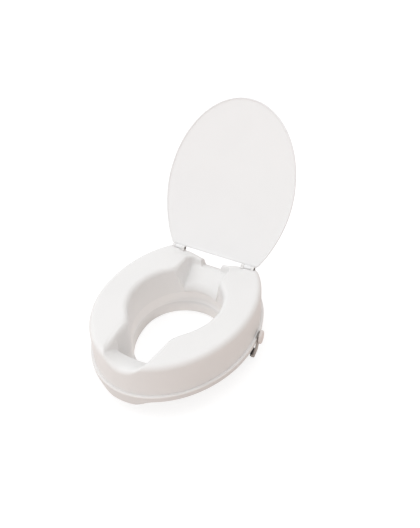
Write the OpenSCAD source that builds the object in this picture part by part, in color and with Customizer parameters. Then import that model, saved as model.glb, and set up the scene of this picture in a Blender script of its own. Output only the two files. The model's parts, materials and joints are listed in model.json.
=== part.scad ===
// Raised toilet seat with hinged lid and two side clamps.
// Origin: centre of the underside of the rear rest pad, on the symmetry plane.
// +X to the user's left when seated, -Y towards the front of the bowl, +Z up.
// Z = 0 is the plane that rests on the bowl rim.
// Parts are drawn with Y = 0 at the widest station of the seat, then moved by place().
// Left and right in the node names are as seen by someone facing the front of the bowl.

/* [Seat shell] */
// Half of the width of the seat wall
seat_half_w = 180; // [172:1:188]
// Distance from the widest station to the front of the seat wall
seat_front = 231; // [222:1:240]
// Full ellipse depth behind the widest station, before the rear is cut flat
seat_rear = 231.7; // [225:0.5:240]
// Distance from the widest station to the flat rear wall
seat_rear_flat = 181.5; // [178:0.5:186]
// Height of the sitting surface above the bowl rim
seat_h = 96; // [92:1:110]
// Thickness of the moulded walls
wall = 4; // [3:0.5:5]
// Radius along the outer top edge
edge_r = 12; // [8:1:17]
// Half of the width of the seat opening
open_half_w = 105; // [100:1:108]
// Half of the length of the round part of the seat opening
open_half_l = 118; // [114:1:121]
// Half of the width of the front and rear cut-outs
cut_half_w = 51; // [44:1:54]
// Height of the crest of the front cut-out
front_floor = 74; // [66:1:78]
// Height of the rear scoop's upper end
rear_floor = 68; // [65:1:72]

/* [Base ring] */
// How far the flange stands out from the wall
flange_out = 6; // [3:0.5:7]
// Underside of the clamp housings
band_z = 2; // [1.5:0.5:4]
// Underside of the skirt below the flange
skirt_z = -1; // [-3:0.5:2]
// Underside of the flange
flange_z = 10; // [8:0.5:11]
// Top of the flange, where the shell sits
joint_z = 14; // [13:0.5:15]
// Depth of the inner collar below the rim plane
collar_drop = 45; // [30:1:50]
// Depth of the ledge inside the collar below the rim plane
ledge_drop = 10; // [6:1:14]
// Width of the ledge inside the collar
ledge_w = 5; // [4:0.5:6]
// Depth of the front lip below the rim plane
lip_drop = 14; // [10:1:18]

/* [Lid] */
// Half of the greatest width of the lid
lid_half_w = 165.6; // [160:0.2:168]
// Thickness of the lid panel
lid_t = 3.4; // [3:0.1:3.6]
// Angle between the open lid and the closed lid
lid_open = 121; // [95:1:121]

/* [Hinges] */
// Inner end of each hinge block
hinge_in = 79; // [76:1:82]
// Outer end of each hinge block
hinge_out = 112; // [108:1:113]
// Distance of the pin axis behind the widest station
hinge_y = 172.5; // [171:0.5:174]
// Diameter of the hinge pins
pin_d = 5; // [4.6:0.1:5]

/* [Clamps] */
// Travel of each clamp
clamp_travel = 12; // [8:1:12]
// Height of the clamp screws
clamp_z = 8; // [7.5:0.5:8.5]
// Knob diameter
knob_d = 30; // [26:1:34]
// Knob length
knob_t = 7.6; // [6.6:0.2:10]
// Clamp screw diameter
stud_d = 5.9; // [5.6:0.1:5.9]

/* [Hidden] */
left = -1;
right = 1;
rest_y = 150;         // widest station to the centre of the rear rest pad
cut_top = 130;        // top of cutters that pass out of the seat
lap = 1;              // overlap between joined pieces of the base ring

// assembly screws: [x, y]
screw_spots = [[110, 102], [-110, 102], [143, -22], [-143, -22], [104, -128], [-104, -128]];
screw_hole_d = 4.2;
screw_head_z = 5.9;

// rest pads: [x, y, turn about Z]; the rear one comes first
pad_spots = [[0, rest_y, 0], [128, 14, 90], [-128, 14, 90], [90, -158, 40], [-90, -158, -40]];
pad_size = [44, 18, 5];
pad_gap = 0.05;

// hinges: X is measured from the middle of each block
hinge_mid = (hinge_in + hinge_out) / 2;
block_half = (hinge_out - hinge_in) / 2;
ear_len = 7.1;                         // outer knuckles of the block
slot_half = block_half - ear_len;      // space between them
knuckle_half = slot_half - 0.3;        // lid knuckle in that space
knuckle_gap_r = 6.1;                   // clearance round the knuckles
block_front_y = 165;
recess_z = 88;                         // floor of the block's recess in the seat
hinge_screw_x = block_half - 3.5;
hinge_screw_y = 170.5;

// clamps: wall face, direction of its normal and sizes across the clamp
clamp_x = 176;
clamp_y = 53;
clamp_angle = 9;
bracket_half_w = 13;
bracket_gap = 1.4;
housing_half_w = 17;
housing_in = -34;
guide_y = 9.6;        // guide bars on each side of the screw
guide_d = 5;
nut_x = -24;
nut_t = 5;
nut_r = 5.774;        // centre to corner
knob_x = 8.4;         // inner face of the knob's body

// ---------- helpers ----------
module place() { translate([0, -rest_y, 0]) children(); }
module box(low, high) { translate(low) cube(high - low); }
module slab(pts, z0, z1) { translate([0, 0, z0]) linear_extrude(z1 - z0) polygon(pts); }

// [y, z] profile, centred on X = 0
module along_x(len) {
    translate([-len / 2, 0, 0]) rotate([90, 0, 90]) linear_extrude(len) children();
}
// [x, z] profile, from rear_y towards the front
module along_y(rear_y, len) {
    translate([0, rear_y, 0]) rotate([90, 0, 0]) linear_extrude(len) children();
}
// cylinder from x0 to x1
module rod(d, x0, x1, y = 0, z = 0, facets = 48) {
    translate([x0, y, z]) rotate([0, 90, 0]) cylinder(d = d, h = x1 - x0, $fn = facets);
}
module at_screws() { for (spot = screw_spots) translate([spot[0], spot[1], 0]) children(); }
module at_pad(spot) { translate([spot[0], spot[1], 0]) rotate([0, 0, spot[2]]) children(); }
module at_hinge(side) { translate([side * hinge_mid, 0, 0]) children(); }

// screw pointing up, its head's outer face at Z = 0 with a cross recess
module cross_screw(head_d, head_t, cross_l, cross_w, cross_depth, shank_d, shank_z, shank_l) {
    union() {
        difference() {
            cylinder(d = head_d, h = head_t, $fn = 32);
            for (turn = [0, 90]) rotate([0, 0, turn])
                box([-cross_l / 2, -cross_w / 2, -1], [cross_l / 2, cross_w / 2, cross_depth]);
        }
        translate([0, 0, shank_z]) cylinder(d = shank_d, h = shank_l, $fn = 32);
    }
}

// ---------- plan curves ----------
// superellipse term; 2 gives a plain ellipse, more gives a fuller curve
function full(value, fullness) = pow(value, 2 / fullness);
function bezier(a, b, c, t) = (1 - t) * (1 - t) * a + 2 * t * (1 - t) * b + t * t * c;
function smooth_max(a, b, blend) = max(a, b) + blend * ln(1 + exp(-abs(a - b) / blend));

// closes a +X half line with its mirror image
function mirror_line(half) = concat(half,
    [for (i = [len(half) - 1 : -1 : 0]) if (half[i][0] > 0.01) [-half[i][0], half[i][1]]]);

// moves every point of a counter-clockwise line inwards by dist
function inset(pts, dist) = let (n = len(pts)) [for (i = [0 : n - 1])
    let (along = pts[(i + 1) % n] - pts[(i + n - 1) % n])
    pts[i] - dist * [along[1], -along[0]] / norm(along)];

// wall: front curve, rear curve, rounded rear corner, flat rear
front_full = 1.96;
rear_full = 2.085;
corner_y = 171;       // where the rear corners start
function rear_pt(angle) =
    [seat_half_w * full(cos(angle), rear_full), seat_rear * full(sin(angle), rear_full)];
corner_angle = asin(pow(corner_y / seat_rear, rear_full / 2));
corner_start = rear_pt(corner_angle);
corner_dir = rear_pt(corner_angle + 0.05) - rear_pt(corner_angle - 0.05);
corner_tip = corner_start + corner_dir * ((seat_rear_flat - corner_start[1]) / corner_dir[1]);
corner_end = [corner_tip[0] - norm(corner_tip - corner_start), seat_rear_flat];
wall_line = mirror_line(concat(
    [for (angle = [0 : 6 : 84])
        [seat_half_w * full(sin(angle), front_full), -seat_front * full(cos(angle), front_full)]],
    [for (i = [0 : 1 : 6]) rear_pt(corner_angle * i / 7)],
    [for (i = [0 : 1 : 4]) bezier(corner_start, corner_tip, corner_end, i / 4)],
    [[corner_end[0] / 2, seat_rear_flat], [0, seat_rear_flat]]));

// opening: an oval that runs into a channel towards the front
channel_y = -171;
open_line = mirror_line(concat(
    [[0, channel_y], [cut_half_w - 9, channel_y],
     [cut_half_w - 2, channel_y + 3], [cut_half_w + 1.5, channel_y + 10]],
    [for (y = [-150 : 10 : -90])
        [smooth_max(open_half_w * sqrt(max(0, 1 - y * y / open_half_l / open_half_l)),
            cut_half_w + 2, 9), y]],
    [for (angle = [-48 : 8 : 88]) [open_half_w * cos(angle), open_half_l * sin(angle)]],
    [[0, open_half_l]]));

// collar below the ledge: an egg, longer towards the front
collar_mid_y = 14;
collar_half_w = open_half_w - ledge_w + 3.5;
collar_front = 142;
collar_rear = 108 - ledge_w;
collar_line = mirror_line([for (angle = [-90 : 9 : 90])
    [collar_half_w * cos(angle),
     collar_mid_y + (angle < 0 ? collar_front : collar_rear) * sin(angle)]]);

// ---------- seat cutters, enlarged by grow to leave a wall round them ----------
// a saddle whose crest is near the front wall
module front_cut(grow) {
    crest = front_floor - grow;
    half_w = cut_half_w + grow;
    foot_r = 16;
    intersection() {
        // [y, z]
        along_x(2 * half_w) polygon([
            [-260, cut_top], [-260, crest - 24], [-234 + grow, crest - 18],
            [-230 + grow, crest - 7], [-225 + grow, crest - 2], [-216, crest],
            [-206, crest - 2], [-172, crest - 17], [-140, crest - 17], [-140, cut_top]]);
        // rounds the foot of the side walls
        along_y(-100, 200) polygon(mirror_line(concat(
            [for (angle = [0 : 15 : 90])
                [half_w - foot_r * (1 - sin(angle)), crest - 20 + foot_r * (1 - cos(angle))]],
            [[half_w, cut_top + 1]])));
    }
}

// plan of the rear scoop, rounded at the rear
function scoop_line(grow) = let (half_w = 55 + grow, rear_y = 163 + grow, r = 17)
    mirror_line(concat([[half_w, 60]], [for (angle = [0 : 15 : 90])
        [half_w - r + r * cos(angle), rear_y - r + r * sin(angle)]]));

// the rear scoop, a notch through the rear wall and a lowered rear rim
module rear_cut(grow) {
    top = rear_floor - grow;
    scoop_low = top - 29 - grow;
    intersection() {
        slab(scoop_line(grow), 0, 200);
        along_x(200) polygon([
            [215, cut_top], [80, cut_top], [80, scoop_low], [open_half_l - 4, scoop_low],
            [152, top - 4], [162, top - 0.5], [215, top]]);
    }
    along_x(2 * (25 + grow)) polygon([
        [215, cut_top], [152, cut_top], [152, top - 2], [165, top - 2],
        [182, top - 7.5], [215, top - 7.5]]);
    // the rear rim falls towards the back and the middle
    intersection() {
        along_x(170) polygon([
            [136 - grow, cut_top], [136 - grow, seat_h + 1.5 - grow],
            [172, 81.3 - grow], [215, 81.3 - grow], [215, cut_top]]);
        along_y(220, 100) polygon(mirror_line([
            [25.4, 80 - grow], [60, 88.5 - grow],
            [75.5 + grow, 92 - grow], [75.5 + grow, cut_top]]));
    }
}

// ---------- seat ----------
// closed solid inside the wall line by dist, its top edge rounded
module dome(dist, z0, z1, r) {
    n = len(wall_line);
    // rows of points: [inset, z]
    rows = concat([[dist, z0]],
        [for (angle = [0, 30, 60, 90]) [dist + r * (1 - cos(angle)), z1 - r + r * sin(angle)]]);
    last = len(rows) - 1;
    points = [for (row = rows) each [for (p = inset(wall_line, row[0])) [p[0], p[1], row[1]]]];
    polyhedron(points, concat(
        [[for (i = [0 : n - 1]) i]],
        [for (k = [0 : last - 1]) for (i = [0 : n - 1]) let (next = (i + 1) % n) each
            [[k * n + i, (k + 1) * n + i, k * n + next],
             [k * n + next, (k + 1) * n + i, (k + 1) * n + next]]],
        [[for (i = [n - 1 : -1 : 0]) last * n + i]]), convexity = 4);
}

// hollow of the shell; what is taken out of it stays solid
module seat_hollow() {
    difference() {
        dome(wall, joint_z - 1, seat_h - wall, edge_r - wall);
        slab(inset(open_line, -wall), 0, cut_top);
        front_cut(wall);
        rear_cut(wall);
        at_screws() cylinder(d = 10, h = 130, $fn = 32);
        // thick floor under the hinge blocks
        for (side = [left, right]) at_hinge(side)
            box([-block_half - 5.5, 158, 83], [block_half + 5.5, 198, 103]);
    }
}

// recess, pin clearance and screw holes for one hinge block
module hinge_recess() {
    gap = 0.3;
    box([-block_half - gap, block_front_y - gap, recess_z],
        [block_half + gap, block_front_y - gap + 40, recess_z + 30]);
    rod(7.4, -block_half - 1.8, block_half + 1.8, hinge_y, seat_h);
    for (x = [-hinge_screw_x, hinge_screw_x])
        translate([x, hinge_screw_y, 70]) cylinder(d = 3.2, h = 30, $fn = 32);
}

module seat_shell() {
    color("white") place() difference() {
        dome(0, joint_z, seat_h, edge_r);
        seat_hollow();
        slab(open_line, 0, cut_top);
        front_cut(0);
        rear_cut(0);
        for (side = [left, right]) at_hinge(side) hinge_recess();
        at_screws() cylinder(d = 3.6, h = joint_z + 22, $fn = 32);
    }
}

// ---------- base ring ----------
// clamp parts are drawn with +X outwards from the wall face, then placed
module clamp_side(side) {
    translate([side * clamp_x, clamp_y, 0])
        mirror([side < 0 ? 1 : 0, 0, 0]) rotate([0, 0, clamp_angle]) children();
}
module clamp_rod(d, x0, x1, y = 0) { rod(d, x0, x1, y, clamp_z); }
// hexagonal bar along the clamp screw, corners up and down
module clamp_hex(x0, len, r) {
    translate([x0, 0, clamp_z]) rotate([90, 0, 90]) linear_extrude(len)
        polygon([for (angle = [30 : 60 : 330]) r * [cos(angle), sin(angle)]]);
}

// gaps in the flange and skirt where the brackets pass
module bracket_gaps(z0, z1) {
    half_w = bracket_half_w + bracket_gap;
    for (side = [left, right]) clamp_side(side) box([0.1, -half_w, z0], [20.1, half_w, z1]);
}
module flange() {
    difference() {
        slab(inset(wall_line, -flange_out), flange_z, joint_z);
        bracket_gaps(0, 30);
    }
}
module skirt() {
    difference() {
        slab(inset(wall_line, -flange_out + 0.5), skirt_z, flange_z + lap);
        slab(inset(wall_line, -1.5), skirt_z - 1, flange_z);
        bracket_gaps(-20, 30);
    }
}

// lip over the front of the bowl, its lower edge rising to the sides
module front_lip() {
    lip_rear_y = -178;
    difference() {
        slab(inset(wall_line, -flange_out + 0.5), -lip_drop, flange_z + lap);
        slab(inset(wall_line, -0.5), -lip_drop - 1, flange_z);
        slab([[-300, lip_rear_y], [300, lip_rear_y], [300, 300], [-300, 300]], -60, 140);
        // [x, z]
        for (side = [left, right]) mirror([side < 0 ? 1 : 0, 0, 0]) along_y(-100, 300) polygon([
            [66, flange_z + 2], [60, 2], [54, -4], [46, -9], [36, -12.5], [26, -14.01],
            [26, -80], [300, -80], [300, flange_z + 2]]);
    }
}
module clamp_housing() {
    box([housing_in, -housing_half_w, band_z], [-0.6, housing_half_w, flange_z + lap]);
    box([housing_in, -housing_half_w, flange_z], [-7, housing_half_w, flange_z + 9]);
}
// holes for the screw and guide bars, and a nut pocket open below
module clamp_holes() {
    nut_gap = 0.05;
    pocket_half_w = 5.05;
    clamp_rod(stud_d + 0.5, -60, 10);
    for (y = [-guide_y, guide_y]) clamp_rod(guide_d + 0.12, -60, 10, y);
    box([nut_x - nut_gap, -pocket_half_w, 0], [nut_x + nut_t + nut_gap, pocket_half_w, clamp_z]);
    clamp_hex(nut_x - nut_gap, nut_t + 2 * nut_gap, 5.86);
}

module base_ring() {
    pocket_half_l = pad_size[0] / 2 + pad_gap;
    pocket_half_w = pad_size[1] / 2 + pad_gap;
    color("white") place() difference() {
        union() {
            flange();
            skirt();
            // collar that hangs inside the bowl, wider above its ledge
            slab(inset(open_line, -wall), -ledge_drop - wall, flange_z + lap);
            slab(inset(collar_line, -wall), -collar_drop, -ledge_drop);
            front_lip();
            // seats for the rest pads
            for (spot = pad_spots) at_pad(spot) box([-24, -11, 3], [24, 11, flange_z + lap]);
            for (side = [left, right]) clamp_side(side) clamp_housing();
            // screw columns
            at_screws() translate([0, 0, 6]) cylinder(d = 12, h = 5, $fn = 40);
        }
        slab(collar_line, -60, 60);
        slab(open_line, -ledge_drop, 60);
        for (spot = pad_spots) at_pad(spot)
            box([-pocket_half_l, -pocket_half_w, -1],
                [pocket_half_l, pocket_half_w, pad_size[2] + pad_gap]);
        at_screws() {
            cylinder(d = screw_hole_d, h = 60, $fn = 32);
            cylinder(d = 2 * screw_hole_d, h = 9, $fn = 32);
        }
        for (side = [left, right]) clamp_side(side) clamp_holes();
    }
}

module assembly_screws() {
    color("silver") place() at_screws() translate([0, 0, screw_head_z])
        cross_screw(head_d = 8, head_t = 3, cross_l = 4.4, cross_w = 1, cross_depth = 1.6,
            shank_d = 3.5, shank_z = 8 - screw_head_z, shank_l = 24);
}

// rest pads; all but the rear one have grooves across the underside
module grip_pads() {
    color("dimgray") place() for (spot = pad_spots) at_pad(spot) difference() {
        translate([-pad_size[0] / 2, -pad_size[1] / 2, 0]) cube(pad_size);
        if (spot[2] != 0)
            for (x = [-15, -5, 5, 15]) box([x - 1, -10, -1], [x + 1, 10, 1]);
    }
}

// ---------- lid, drawn closed about the pin axis ----------
lid_rear_y = -4;
lid_widest = 160.5;        // rear edge to the widest station of the lid
lid_front = 221.2;         // widest station to the front edge
lid_rear = 243.5;          // depth of the rear curve, before it is cut off
lid_front_full = 2.01;
lid_rear_power = 1.81;
lid_z = 1.7;               // underside of the panel above the pin axis
lid_line = mirror_line(concat(
    [for (angle = [0 : 6 : 90])
        [lid_half_w * full(sin(angle), lid_front_full),
         lid_rear_y - lid_widest - lid_front * full(cos(angle), lid_front_full)]],
    [for (dist = [150 : -15 : 15])
        [lid_half_w * pow(1 - pow((lid_widest - dist) / lid_rear, lid_rear_power),
            1 / lid_rear_power), lid_rear_y - dist]],
    [[119.5, lid_rear_y - 5], [117, lid_rear_y - 1.6], [113, lid_rear_y]]));

// shallow rim under the panel, left out near the hinges
module lid_rim() {
    difference() {
        slab(lid_line, 0.4, lid_z + 0.1);
        slab(inset(lid_line, 3), 0, 3);
        box([-200, -16, -1], [200, 24, 4]);
    }
}
module lid() {
    ear_end = block_half + 0.4;
    color("white") place() translate([0, hinge_y, seat_h]) rotate([-lid_open, 0, 0]) difference() {
        union() {
            slab(lid_line, lid_z, lid_z + lid_t);
            lid_rim();
            for (side = [left, right]) at_hinge(side) {
                rod(10.6, -knuckle_half, knuckle_half, facets = 64);
                box([-knuckle_half, -9, lid_z], [knuckle_half, 0, lid_z + lid_t]);
            }
        }
        // bush bores and clearance round the block's ears
        for (side = [left, right]) at_hinge(side) {
            rod(8, -10, 10, facets = 64);
            rod(2 * knuckle_gap_r, -ear_end, -knuckle_half, facets = 64);
            rod(2 * knuckle_gap_r, knuckle_half, ear_end, facets = 64);
        }
    }
}

// ---------- hinges ----------
module hinge_block(side) {
    color("white") place() at_hinge(side) difference() {
        union() {
            box([-block_half, block_front_y, recess_z + 0.05], [block_half, 177.6, seat_h - 0.2]);
            for (x = [-block_half, slot_half]) rod(11, x, x + ear_len, hinge_y, seat_h, 64);
        }
        rod(2 * knuckle_gap_r, -slot_half, slot_half, hinge_y, seat_h, 64);
        box([-slot_half, 150, seat_h - 1.2], [slot_half, hinge_y, seat_h + 18.8]);
        rod(pin_d, -30, 30, hinge_y, seat_h);
        for (x = [-hinge_screw_x, hinge_screw_x])
            translate([x, hinge_screw_y, 80]) cylinder(d = 2.9, h = 12.3, $fn = 32);
    }
}
module hinge_screws() {
    color("silver") place() for (side = [left, right]) at_hinge(side)
        for (x = [-hinge_screw_x, hinge_screw_x]) translate([x, hinge_screw_y, 80.9])
            cross_screw(head_d = 6, head_t = 2, cross_l = 3.2, cross_w = 0.8, cross_depth = 1,
                shank_d = 2.8, shank_z = 0, shank_l = 11);
}
// pin with a head at each end
module hinge_pin(side) {
    pin_half = block_half + 0.8;
    head_in = block_half + 0.1;
    head_t = 1.2;
    color("dimgray") place() at_hinge(side) {
        rod(pin_d - 0.04, -pin_half, pin_half, hinge_y, seat_h);
        for (x = [-head_in - head_t, head_in]) rod(6.4, x, x + head_t, hinge_y, seat_h);
    }
}
module hinge_bush(side) {
    color("gainsboro") place() at_hinge(side) difference() {
        rod(7.94, -knuckle_half, knuckle_half, hinge_y, seat_h, 64);
        rod(pin_d + 0.1, -11, 11, hinge_y, seat_h);
    }
}

// ---------- clamps ----------
// hooked arm outside the wall, with two guide bars
module clamp_bracket(side) {
    color("gray") place() clamp_side(side) difference() {
        union() {
            // [x, z]
            along_y(bracket_half_w, 2 * bracket_half_w) polygon([
                [3, 15], [4, 17], [6, 17], [7, 15], [7, -8], [3, -44],
                [1, -50], [-8, -50], [-8, -41], [-3, -38], [3, -8]]);
            for (y = [-guide_y, guide_y]) clamp_rod(guide_d, -26, 4, y);
        }
        clamp_rod(stud_d + 0.4, 0, 10);
    }
}
// pad on the bracket's foot, with grooves across its inner face
module clamp_pad(side) {
    color("dimgray") place() clamp_side(side) difference() {
        box([-11, -11.5, -49.5], [-8, 11.5, -41.5]);
        for (z = [-47.9, -45.9, -43.9]) box([-12, -12, z], [-10.2, 12, z + 0.8]);
    }
}
module clamp_washer(side) {
    color("silver") place() clamp_side(side) difference() {
        clamp_rod(14, 7.05, 8.05);
        clamp_rod(stud_d + 0.5, 6, 10);
    }
}
// knob with eight lobes, a stepped outer face and a hub towards the washer
module clamp_knob(side) {
    lobe_d = 7;
    color("gainsboro") place() clamp_side(side) difference() {
        union() {
            clamp_rod(knob_d - 4, knob_x, knob_x + knob_t - 1.2);
            clamp_rod(knob_d - 8, 9, knob_x + knob_t);
            for (angle = [22.5 : 45 : 359])
                translate([knob_x + 0.5, 0, clamp_z]) rotate([angle, 0, 0])
                    rod(lobe_d, 0, knob_t - 2.4, (knob_d - lobe_d) / 2);
            clamp_rod(13, knob_x - 0.25, knob_x + 1);
        }
        clamp_rod(stud_d + 0.04, 7, knob_x + knob_t - 1.6);
    }
}
// clamp screw with a groove for the clip
module clamp_stud(side) {
    color("silver") place() clamp_side(side) difference() {
        clamp_rod(stud_d, -25 - clamp_travel, knob_x + knob_t - 1.8);
        difference() {
            clamp_rod(10, 1.7, 2.8);
            clamp_rod(4.6, 0.7, 4.7);
        }
    }
}
// ring in the groove, open at the top
module clamp_clip(side) {
    color("silver") place() clamp_side(side) difference() {
        clamp_rod(10.6, 1.75, 2.75);
        clamp_rod(4.7, 0, 5);
        box([0, -2, clamp_z], [6, 2, clamp_z + 12]);
    }
}
module clamp_nut(side) {
    color("silver") place() clamp_side(side) difference() {
        clamp_hex(nut_x, nut_t, nut_r);
        clamp_rod(stud_d + 0.1, -30, -10);
    }
}

seat_shell();
base_ring();
assembly_screws();
grip_pads();
lid();
hinge_block(left);  // hinge_block_left
hinge_block(right);  // hinge_block_right
hinge_screws();
hinge_pin(left);  // hinge_pin_left
hinge_pin(right);  // hinge_pin_right
hinge_bush(left);  // hinge_bush_left
hinge_bush(right);  // hinge_bush_right
clamp_bracket(left);  // clamp_bracket_left
clamp_bracket(right);  // clamp_bracket_right
clamp_pad(left);  // clamp_pad_left
clamp_pad(right);  // clamp_pad_right
clamp_washer(left);  // clamp_washer_left
clamp_washer(right);  // clamp_washer_right
clamp_knob(left);  // clamp_knob_left
clamp_knob(right);  // clamp_knob_right
clamp_stud(left);  // clamp_stud_left
clamp_stud(right);  // clamp_stud_right
clamp_clip(left);  // clamp_clip_left
clamp_clip(right);  // clamp_clip_right
clamp_nut(left);  // clamp_nut_left
clamp_nut(right);  // clamp_nut_right
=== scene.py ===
"""A raised toilet seat: a hollow seat body on a base ring, an open lid, and a screw clamp each side.

All parts are drawn in millimetres: +x is right, -y is the front, +z is up, and y = 0 is the
widest station of the seat. z = 14 is the seam between seat and base. The world origin lies at
y = REST_Y of that frame. The lid stands open, leaning back from its hinge axis.
"""
import math, json
from itertools import product
import bmesh
import bpy
import numpy as np
from mathutils import Vector, Matrix

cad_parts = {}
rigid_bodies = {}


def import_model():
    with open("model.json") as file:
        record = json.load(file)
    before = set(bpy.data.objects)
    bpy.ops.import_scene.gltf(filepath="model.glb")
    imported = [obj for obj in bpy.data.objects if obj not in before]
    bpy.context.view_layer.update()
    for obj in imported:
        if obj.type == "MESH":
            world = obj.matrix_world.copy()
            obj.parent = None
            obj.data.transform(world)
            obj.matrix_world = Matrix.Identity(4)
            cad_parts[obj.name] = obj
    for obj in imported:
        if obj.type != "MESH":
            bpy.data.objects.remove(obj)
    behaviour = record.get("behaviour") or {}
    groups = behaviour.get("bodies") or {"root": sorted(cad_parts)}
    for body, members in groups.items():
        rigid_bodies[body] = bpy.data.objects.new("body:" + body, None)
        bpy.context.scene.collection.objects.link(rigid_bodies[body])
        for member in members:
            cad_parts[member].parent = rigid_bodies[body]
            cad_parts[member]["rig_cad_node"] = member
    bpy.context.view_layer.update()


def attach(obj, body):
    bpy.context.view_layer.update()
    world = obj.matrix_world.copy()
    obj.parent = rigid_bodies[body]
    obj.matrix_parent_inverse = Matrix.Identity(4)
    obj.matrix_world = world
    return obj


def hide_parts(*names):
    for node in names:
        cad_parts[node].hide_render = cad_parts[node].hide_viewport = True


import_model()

MM = 0.001
REST_Y = 150.0
SIDES = ((-1, "left"), (1, "right"))

# seat
SEAM_Z = 14.0
SEAT_TOP = 96.0
SEAT_WALL = 4.0
OUTER_HALF_WIDTH = 180.0
OUTER_FRONT = 231.0       # half length of the front superellipse
OUTER_REAR = 231.7        # half length of the rear one, which the flat back cuts short
OUTER_BACK_Y = 181.5
OUTER_FRONT_POWER, OUTER_REAR_POWER = 1.96, 2.085
BACK_CORNER_Y = 171.0     # where the corner into the flat back begins
OPENING_END_Y = -171.5    # front end of the channel of the keyhole opening
TOP_REAR, LOW_REAR = 112.0, 126.0   # how far the opening runs back, at the top and lower down
FOOT_SHARE = 0.35         # place of the seam between the lower and the top opening

# hinge
HINGE_X, HINGE_Y, HINGE_Z = 95.5, 172.5, 96

# clamps
CLAMP_X, CLAMP_Y, CLAMP_TURN = 176, 53, math.radians(9)
SCREW_Z = 8
GUIDE_OFFSETS = (-9.6, 9.6)


# ------------------------------------------------------------------ maths
def monotone_cubic(knots, values, x):
    gap = np.diff(knots)
    slope = np.diff(values) / gap
    tangent = np.zeros(len(knots))
    for i in range(1, len(knots) - 1):
        if slope[i - 1] * slope[i] > 0:
            before, after = 2 * gap[i] + gap[i - 1], gap[i] + 2 * gap[i - 1]
            tangent[i] = (before + after) / (before / slope[i - 1] + after / slope[i])
    tangent[0], tangent[-1] = slope[0], slope[-1]
    x = np.clip(x, knots[0], knots[-1])
    i = np.clip(np.searchsorted(knots, x) - 1, 0, len(gap) - 1)
    t = (x - knots[i]) / gap[i]
    return ((1 + 2 * t) * (1 - t) ** 2 * values[i] + t * (1 - t) ** 2 * gap[i] * tangent[i]
            + t * t * (3 - 2 * t) * values[i + 1] + t * t * (t - 1) * gap[i] * tangent[i + 1])


def smooth_min(a, b, blend):
    share = np.clip(0.5 + 0.5 * (b - a) / blend, 0, 1)
    return b * (1 - share) + a * share - blend * share * (1 - share)


def smooth_max(a, b, blend):
    return -smooth_min(-a, -b, blend)


def smooth_step(start, end, x):
    t = np.clip((x - start) / (end - start), 0, 1)
    return t * t * (3 - 2 * t)


def bezier(start, control, end, t):
    return (1 - t) ** 2 * start + 2 * t * (1 - t) * control + t * t * end


# ------------------------------------------------------------------ mesh tools
def shade(ob, angle=35.0):
    ob.data.polygons.foreach_set("use_smooth", [True] * len(ob.data.polygons))
    ob.data.set_sharp_from_angle(angle=math.radians(angle))
    ob.data.update()


def new_mesh(name, points, faces, angle=35.0):
    """Mesh object from points in mm, with welded vertices and outward normals."""
    verts = (np.asarray(points, float) - np.array([0.0, REST_Y, 0.0])) * MM
    mesh = bpy.data.meshes.new(name)
    mesh.from_pydata([tuple(v) for v in verts], [], [tuple(int(i) for i in f) for f in faces])
    mesh.validate()
    mesh.update()
    ob = bpy.data.objects.new(name, mesh)
    bpy.context.scene.collection.objects.link(ob)
    bm = bmesh.new()
    bm.from_mesh(mesh)
    bmesh.ops.remove_doubles(bm, verts=bm.verts, dist=1e-6)
    bmesh.ops.recalc_face_normals(bm, faces=bm.faces)
    bm.to_mesh(mesh)
    bm.free()
    shade(ob, angle)
    return ob


def closed_grid(loops, name, angle=35.0):
    """Torus-like skin from an array (stations, points, 3), closed both ways."""
    stations, count = loops.shape[:2]
    here = np.arange(stations * count).reshape(stations, count)
    ahead = np.roll(here, -1, axis=0)
    corners = [here, ahead, np.roll(ahead, -1, axis=1), np.roll(here, -1, axis=1)]
    faces = np.stack(corners, axis=-1).reshape(-1, 4)
    return new_mesh(name, loops.reshape(-1, 3), faces, angle)


def turned_ring(profile, name, frame, segments):
    """Ring with a closed profile of (along, radius) about the frame's first axis."""
    angles = [2 * math.pi * k / segments for k in range(segments)]
    loops = [[frame(u, r * math.cos(a), r * math.sin(a)) for u, r in profile] for a in angles]
    return closed_grid(np.array(loops), name)


def prism(outline, start, end, frame, name):
    """Outline of (u, z) points run along v from start to end."""
    n = len(outline)
    points = [frame(u, v, z) for v in (start, end) for u, z in outline]
    faces = [tuple(range(n - 1, -1, -1)), tuple(range(n, 2 * n))]
    faces += [(i, (i + 1) % n, n + (i + 1) % n, n + i) for i in range(n)]
    return new_mesh(name, points, faces)


def box(low, high, name, frame=lambda x, y, z: (x, y, z)):
    points = [frame(*corner) for corner in product(*zip(low, high))]
    faces = [(0, 1, 3, 2), (4, 6, 7, 5), (0, 4, 5, 1), (2, 3, 7, 6), (0, 2, 6, 4), (1, 5, 7, 3)]
    return new_mesh(name, points, faces, 30)


def revolve(profile, name, frame, segments, lobes=None, angle=35.0):
    """Solid about the frame's first axis; the (along, radius) profile starts and ends on it."""
    points, rows = [], []
    for along, radius in profile:
        row = []
        if radius < 1e-6:
            row.append(len(points))
            points.append(frame(along, 0, 0))
        else:
            for k in range(segments):
                turn = 2 * math.pi * k / segments
                r = lobes(radius, turn) if lobes else radius
                row.append(len(points))
                points.append(frame(along, r * math.cos(turn), r * math.sin(turn)))
        rows.append(row)
    faces = []
    for a, b in zip(rows[:-1], rows[1:]):
        for k in range(segments):
            after = (k + 1) % segments
            if len(a) == 1:
                faces.append((a[0], b[after], b[k]))
            elif len(b) == 1:
                faces.append((a[k], a[after], b[0]))
            else:
                faces.append((a[k], a[after], b[after], b[k]))
    return new_mesh(name, points, faces, angle)


def bore(start, end, radius, frame, segments):
    """Cylinder used as a cutter."""
    profile = [(start, 0), (start, radius), (end, radius), (end, 0)]
    return revolve(profile, "cutter", frame, segments)


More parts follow.
